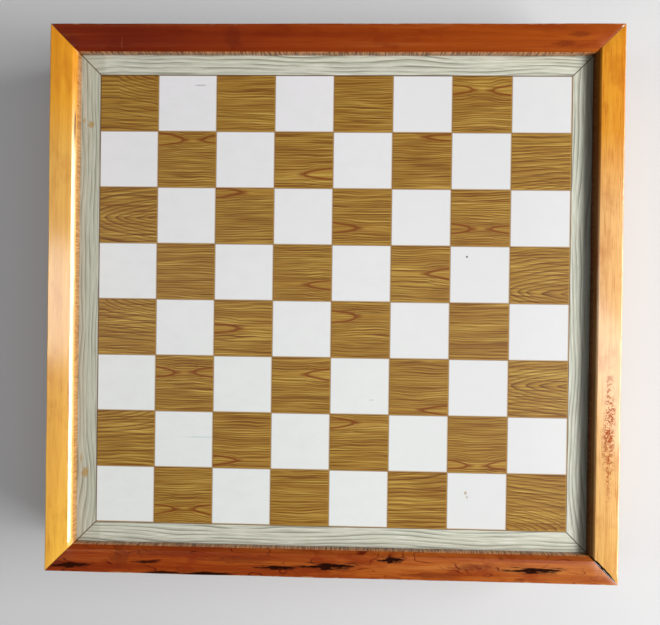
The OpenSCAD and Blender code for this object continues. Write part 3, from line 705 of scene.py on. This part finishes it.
def finish_back_rail():
    made, colour = varnished_rail("varnish_back", "back", [
        (-1.0, srgb(122, 40, 8)), (-0.75, srgb(112, 33, 5)), (-0.45, srgb(130, 46, 7)),
        (0.0, srgb(142, 56, 8)), (0.6, srgb(156, 70, 11)), (1.0, srgb(168, 82, 20))], 0.25, 0.4, gloss=0.2)
    colour = stains(made, colour, [
        ((-68, 176, 68), (7, 9, 30), 0.5, 0.45, srgb(92, 28, 6)),
        ((152, 172, 68), (9, 2.4, 20), 0.7, 0.5, BURNT),
        ((162, 178, 68), (9, 2.4, 20), 0.7, 0.5, BURNT),
        ((-143, 172, 68), (0.5, 4, 20), 1.6, 0.14, srgb(196, 128, 86)),
        ((190, 183, 68), (1.4, 1.2, 20), 0.6, 0.9, srgb(232, 214, 190)),
    ])
    made.colour(colour)
    eased("lid_rail_back", "lid", "varnished_pine", made.material, **RAIL_EASE)


def finish_front_rail():
    made, colour = varnished_rail("varnish_front", "front", [
        (-1.0, srgb(146, 56, 10)), (-0.6, srgb(160, 74, 12)), (-0.1, srgb(164, 82, 22)),
        (0.5, srgb(172, 90, 28)), (1.0, srgb(188, 112, 46))], 0.5, 0.75, flame=1.0, gloss=0.24)
    colour = stains(made, colour, [
        ((-172, -180.2, 67), (17, 2.6, 9), 1.0, 0.95, RESIN),
        ((-122, -177, 68), (12, 1.2, 9), 1.2, 0.9, RESIN),
        ((-110, -184.0, 67), (16, 1.9, 9), 0.9, 0.95, RESIN),
        ((-80, -184.2, 67), (24, 2.2, 9), 0.9, 1.0, RESIN),
        ((-33, -178.8, 68), (18, 1.6, 9), 1.4, 1.0, RESIN),
        ((2, -177.0, 68), (22, 2.7, 9), 1.5, 1.0, RESIN),
        ((43, -171.8, 68), (11, 2.4, 9), 1.3, 1.0, RESIN),
        ((138, -176.5, 68), (23, 2.3, 9), 1.4, 1.0, RESIN),
        ((70, -181.0, 68), (24, 2.6, 9), 1.4, 0.55, BURNT),
        ((-60, -174.0, 68), (30, 3.0, 9), 1.4, 0.5, BURNT),
        ((96, -175.0, 68), (18, 3.0, 9), 1.4, 0.45, BURNT),
        ((-140, -174.0, 68), (8, 8.0, 9), 0.9, 0.5, BURNT),
        ((-112, -170.5, 68), (30, 2.0, 9), 1.0, 0.45, BURNT),
    ])
    colour = open_mitre(made, colour, "front")
    bare_marks(made, colour, 0.03, 0.14)
    made.colour(colour)
    eased("lid_rail_front", "lid", "varnished_pine", made.material, **RAIL_EASE)


# ---- woods of the case, panel and chessmen ----

def wood(name, along, dark, middle, light, lengths=(140, 9, 0.6), rings=7.0, contrast=0.5, **surface):
    """Sawn or turned wood with its grain along axis 0, 1 or 2. lengths are the length and width of the
    broad figure and the width of the fibres, in millimetres. It hands back the finish and its colour."""
    made = Finish(name, **surface)
    long, wide, fibre = lengths

    def grain(length, width):
        return made.stretched(*[length if axis == along else width for axis in range(3)])

    figure = made.noise(grain(long, wide), 1.0, 2.0, 0.5, 0.3)
    fibres = made.noise(grain(long / 6, fibre), 1.0, 3.0, 0.6)
    mottle = made.noise(grain(long / 3, wide * 3), 1.0, 2.0)
    colour = made.ramp(fibres, (0.30, dark), (0.50, middle), (0.70, light))
    lines = made.late_wood(made.mul(figure, rings), 2.5)
    colour = made.mix(made.mul(lines, contrast), colour, dark)
    colour = made.mix(made.span(mottle, 0.60, 0.35, 0.0, 0.35), colour, dark)
    made.bump(made.add(made.mul(fibres, 0.6), made.mul(lines, 0.4)), 0.00012, 0.4)
    return made, colour


def finish_panel_and_nails():
    made, colour = wood("panel_plywood", 0, srgb(176, 134, 86), srgb(206, 168, 120), srgb(222, 190, 146),
                        lengths=(170, 16, 0.7), rings=6.0, contrast=0.35, roughness=0.6)
    made.colour(colour)
    eased("board_panel", "lid", "plywood", made.material, ease=0.2)
    nail = steel("nail_steel")
    eased("lid_corner_pins", "lid", "steel_nail", nail, ease=0.12)
    eased("box_corner_pins", "box", "steel_nail", nail, ease=0.12)
    eased("bottom_brads", "box", "steel_nail", nail, ease=0.1)


def steel(name):
    """Dull nail steel with a bloom of rust."""
    made = Finish(name, roughness=0.45, metallic=0.85)
    rust = made.span(made.noise(made.stretched(1.6, 1.6, 1.6), 1.0, 4.0, 0.65), 0.46, 0.62)
    made.colour(made.mix(rust, srgb(126, 122, 116), srgb(104, 66, 42)))
    made.roughness(made.span(rust, 0.0, 1.0, 0.38, 0.8))
    made.bump(rust, 0.00005)
    return made.material


STAINS = {
    "front": (srgb(132, 60, 16), srgb(168, 86, 28), srgb(188, 106, 42)),
    "back": (srgb(108, 40, 10), srgb(142, 62, 16), srgb(162, 80, 26)),
    "left": (srgb(164, 106, 50), srgb(198, 142, 74), srgb(214, 162, 96)),
    "right": (srgb(168, 108, 52), srgb(202, 144, 76), srgb(216, 164, 98)),
}


def stained_wall(side):
    """The case walls: the same varnish over a darker stain, darker towards the bottom and rubbed at the
    corners.
    """
    along = 0 if side in ("front", "back") else 1
    made, colour = wood("stain_" + side, along, *STAINS[side],
                        lengths=(130, 8, 0.6), rings=8.0, contrast=0.6,
                        roughness=0.45, coat=0.5, coat_roughness=0.24, specular=0.1)
    ragged = made.mul(made.noise(made.stretched(16, 16, 4), 1.0, 3.0), 9.0)
    low = made.span(made.add(made.z, ragged), 13.0, 4.0, 0.0, 0.55)
    colour = made.mix(low, colour, srgb(92, 46, 18))
    run = made.x if along == 0 else made.y
    end = (FRONT_HIGH.x if along == 0 else -FRONT_LOW.y) / MM
    rub = made.noise(made.stretched(3, 3, 9), 1.0, 4.0, 0.7)
    corner = made.mul(made.span(made.math("ABSOLUTE", run), end - 2.2, end - 0.3), made.span(rub, 0.46, 0.60))
    colour = made.mix(made.mul(corner, 0.7), colour, srgb(222, 172, 112))
    length, width = (30, 9) if along == 0 else (9, 30)
    scratch = made.span(made.noise(made.stretched(length, width, 0.6), 1.0, 1.0), 0.74, 0.79)
    colour = made.mix(made.mul(scratch, 0.4), colour, srgb(206, 150, 96))
    made.colour(colour)
    return made.material


def finish_case():
    for side in ("front", "back", "left", "right"):
        eased("box_wall_" + side, "box", "stained_pine", stained_wall(side), **WALL_EASE)
    made, colour = wood("bottom_plywood", 0, srgb(168, 124, 78), srgb(202, 162, 112), srgb(220, 186, 140),
                        lengths=(190, 20, 0.8), rings=7.0, contrast=0.45, roughness=0.62)
    knots = [((-96, 62, 0), (7, 4, 9)), ((71, -88, 0), (5, 3.4, 9)), ((128, 96, 0), (4, 3, 9))]
    colour = stains(made, colour, [(middle, radii, 0.3, 0.8, srgb(110, 62, 30)) for middle, radii in knots])
    grime = made.noise(made.stretched(60, 60, 60), 1.0, 4.0, 0.6)
    colour = made.mix(made.span(grime, 0.50, 0.68, 0.0, 0.35), colour, srgb(128, 98, 70))
    scuffs = made.noise(made.stretched(14, 1.2, 4), 1.0, 2.0, 0.6, 1.5)
    colour = made.mix(made.span(scuffs, 0.68, 0.76, 0.0, 0.5), colour, srgb(226, 204, 172))
    made.colour(colour)
    eased("box_bottom", "box", "plywood", made.material, ease=0.25)


def finish_dividers():
    for name, along, nodes in (("divider_pine_long", 1, ("divider_left", "divider_centre", "divider_right")),
                               ("divider_pine_cross", 0, ("cross_dividers",))):
        made, colour = wood(name, along, srgb(170, 118, 68), srgb(204, 156, 100), srgb(222, 180, 126),
                            lengths=(110, 5, 0.5), rings=7.0, contrast=0.5,
                            roughness=0.5, coat=0.3, coat_roughness=0.35)
        made.colour(colour)
        for node in nodes:
            eased(node, "box", "divider_wood", made.material, ease=0.3)


# ---- cloth ----

def napped_cloth(name, deep, plain, pale, nap):
    """Woollen cloth: short fibres that lie every way, with a soft bloom. nap is the fibres' length in
    millimetres."""
    made = Finish(name, roughness=0.95, sheen=0.35, specular=0.1)
    fibres = made.noise(made.stretched(nap, nap * 0.35, nap), 1.0, 4.0, 0.7, 1.6)
    cross = made.noise(made.stretched(nap * 0.35, nap, nap), 1.0, 4.0, 0.7, 1.6)
    pile = made.mul(made.add(fibres, cross), 0.5)
    wear = made.noise(made.stretched(34, 34, 34), 1.0, 3.0, 0.6)
    colour = made.ramp(pile, (0.36, deep), (0.5, plain), (0.64, pale))
    colour = made.mix(made.span(wear, 0.42, 0.66, 0.0, 0.35), colour, pale)
    made.colour(colour)
    made.bump(pile, 0.0003, 0.6)
    return made.material


def baize_lining():
    """The baize laid on the bottom: one sheet with slow waves where the glue has lifted a little."""
    low, high = (Vector(corner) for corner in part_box("baize_lining"))
    size = high - low
    bm = bmesh.new()
    bmesh.ops.create_grid(bm, x_segments=72, y_segments=70, size=0.5)
    bmesh.ops.scale(bm, vec=(size.x, size.y, 1), verts=bm.verts)
    lifted = 0.16 * MM
    for vert in bm.verts:
        vert.co.z = high.z - lifted + lifted * 0.9 * noise.noise(vert.co / (30 * MM))
    bmesh.ops.solidify(bm, geom=bm.faces[:], thickness=size.z - 2 * lifted)
    cloth = piece(bm, "baize_sheet", "box",
                  [napped_cloth("green_baize", srgb(18, 62, 34), srgb(32, 88, 50), srgb(66, 120, 76), 1.1)],
                  replaces=["baize_lining"], smooth=True)


# ---- brass ----

def brass(name):
    """Lacquered brass, tarnished brown where the lacquer has gone, with fine scratches."""
    made = Finish(name, roughness=0.3, metallic=1.0)
    tarnish = made.span(made.noise(made.stretched(4.5, 4.5, 4.5), 1.0, 5.0, 0.65), 0.46, 0.66)
    scratches = made.noise(made.stretched(7, 0.18, 0.18), 1.0, 2.0)
    colour = made.mix(made.mul(tarnish, 0.75), srgb(214, 168, 84), srgb(142, 98, 48))
    colour = made.mix(made.span(scratches, 0.62, 0.74, 0.0, 0.4), colour, srgb(238, 204, 130))
    made.colour(colour)
    made.roughness(made.span(tarnish, 0.0, 1.0, 0.24, 0.55))
    made.bump(made.add(scratches, tarnish), 0.00003, 0.5)
    return made.material


def finish_brass():
    metal = brass("aged_brass")
    for side in ("left", "right"):
        eased(f"hinge_{side}_lid_leaf", "lid", "brass", metal, ease=0.15)
        eased(f"hinge_{side}_box_leaf", "box", "brass", metal, ease=0.15)
        eased(f"hinge_{side}_pin", "box", "brass", metal, ease=0.15)
    for node, body in (("hinge_lid_screws", "lid"), ("hinge_box_screws", "box"), ("clasp_base_screws", "box"),
                       ("clasp_keeper_screws", "lid")):
        eased(node, body, "brass", metal, ease=0.06)
    for node, body in (("clasp_base", "box"), ("clasp_rivet", "box"), ("clasp_hook", "hook"),
                       ("clasp_keeper", "lid"), ("clasp_stud", "lid")):
        eased(node, body, "brass", metal, ease=0.18)


# ---- chessmen ----

def finish_chessmen():
    turned = {"lengths": (60, 6, 0.35), "rings": 9.0, "roughness": 0.35, "coat": 0.8, "coat_roughness": 0.14}
    light, light_colour = wood("polished_boxwood", 0, srgb(188, 140, 74), srgb(222, 180, 112),
                               srgb(236, 202, 142), contrast=0.45, **turned)
    light.colour(light_colour)
    dark, dark_colour = wood("polished_walnut", 0, srgb(40, 20, 11), srgb(72, 38, 21),
                             srgb(104, 60, 34), contrast=0.6, **turned)
    dark.colour(dark_colour)
    felt = napped_cloth("base_felt", srgb(16, 50, 30), srgb(28, 74, 44), srgb(58, 104, 66), 0.7)
    for tone, slot, finish in (("light", "light_boxwood", light), ("dark", "dark_walnut", dark)):
        for man in ("king", "queen", "bishop_1", "bishop_2", "rook_1", "rook_2", "pawns"):
            eased(f"{tone}_{man}", "box", slot, finish.material, ease=0.25, sharp=40.0)
        for man in ("knight_1", "knight_2"):
            eased(f"{tone}_{man}", "box", slot, finish.material, ease=0.6, sharp=22.0)
        eased(f"{tone}_felts", "box", "base_felt", felt, ease=0.15)


# ---- put together ----

set_camera()
set_light()
lay_floor()
board_print()
finish_left_rail()
finish_right_rail()
finish_back_rail()
finish_front_rail()
finish_panel_and_nails()
finish_case()
baize_lining()
finish_dividers()
finish_brass()
finish_chessmen()
